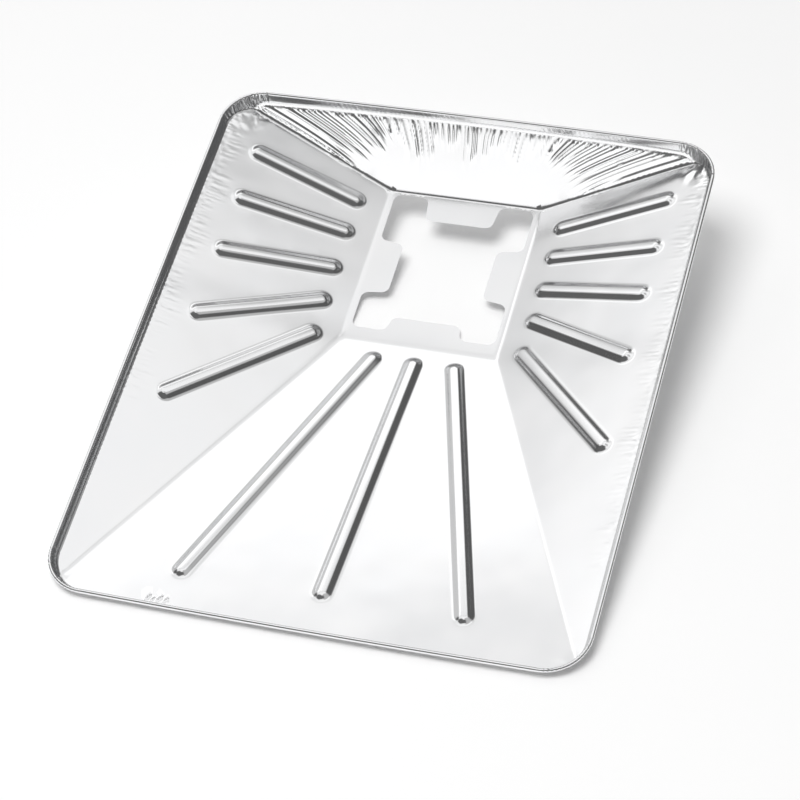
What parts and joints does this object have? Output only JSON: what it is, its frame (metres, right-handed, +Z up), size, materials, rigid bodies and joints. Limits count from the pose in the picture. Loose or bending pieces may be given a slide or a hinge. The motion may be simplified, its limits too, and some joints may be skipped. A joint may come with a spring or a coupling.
{
  "type": "foil drip tray liner",
  "caption": "Shallow aluminium foil liner with ribbed panels that fall to a base with a tabbed outlet, crinkled rear wall and rolled rim.",
  "frame": {"origin": "bottom centre of the bounding box, on the surface that the liner rests on", "axes": "+Z up, +Y from the low front rim towards the raised rear rim, +X across to the right when seen from the front"},
  "size_m": [0.432, 0.5054, 0.0927],
  "materials": {
    "foil": "bright rolled aluminium foil, softly mirrored, with fine rolling lines, gathers and creases"
  },
  "bodies": {
    "root": {"liner": "foil"}
  },
  "joints": []
}
